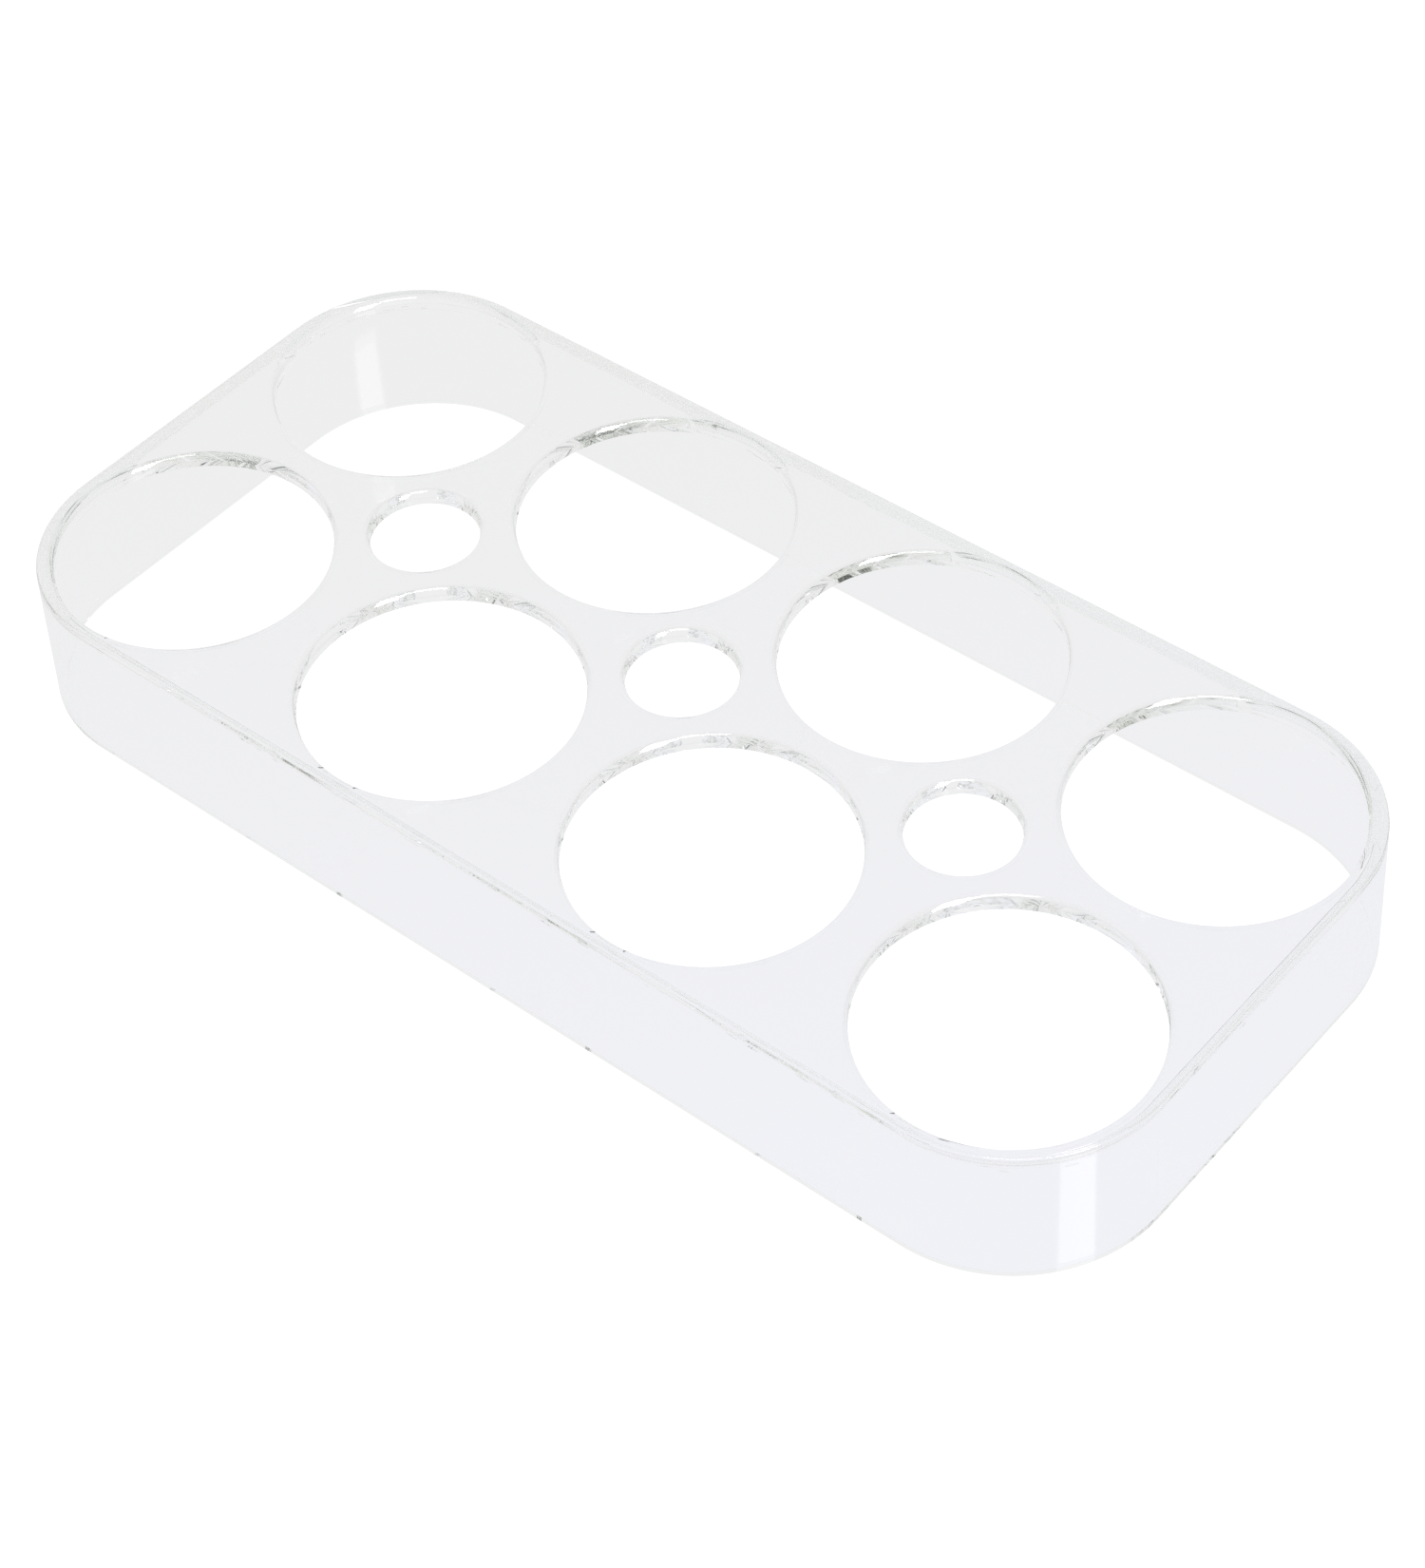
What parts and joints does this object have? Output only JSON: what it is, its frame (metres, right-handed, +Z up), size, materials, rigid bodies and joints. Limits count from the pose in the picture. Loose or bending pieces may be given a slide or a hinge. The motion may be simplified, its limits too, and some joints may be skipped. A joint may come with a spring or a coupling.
{
  "type": "egg holder tray",
  "caption": "Clear plastic egg tray: a flat deck with round egg holes and smaller finger holes, carried on a rounded wall that is open underneath.",
  "frame": {"origin": "centre of the footprint, on the surface the tray stands on", "axes": "+X along a row of four eggs, +Y across the two rows, +Z up"},
  "size_m": [0.215, 0.1024, 0.0252],
  "materials": {
    "clear_deck": "clear, polished on both faces, edges bevelled and polished",
    "clear_wall": "clear, polished on both faces"
  },
  "bodies": {
    "root": {"deck_plate": "clear_deck", "wall_band": "clear_wall"}
  },
  "joints": []
}
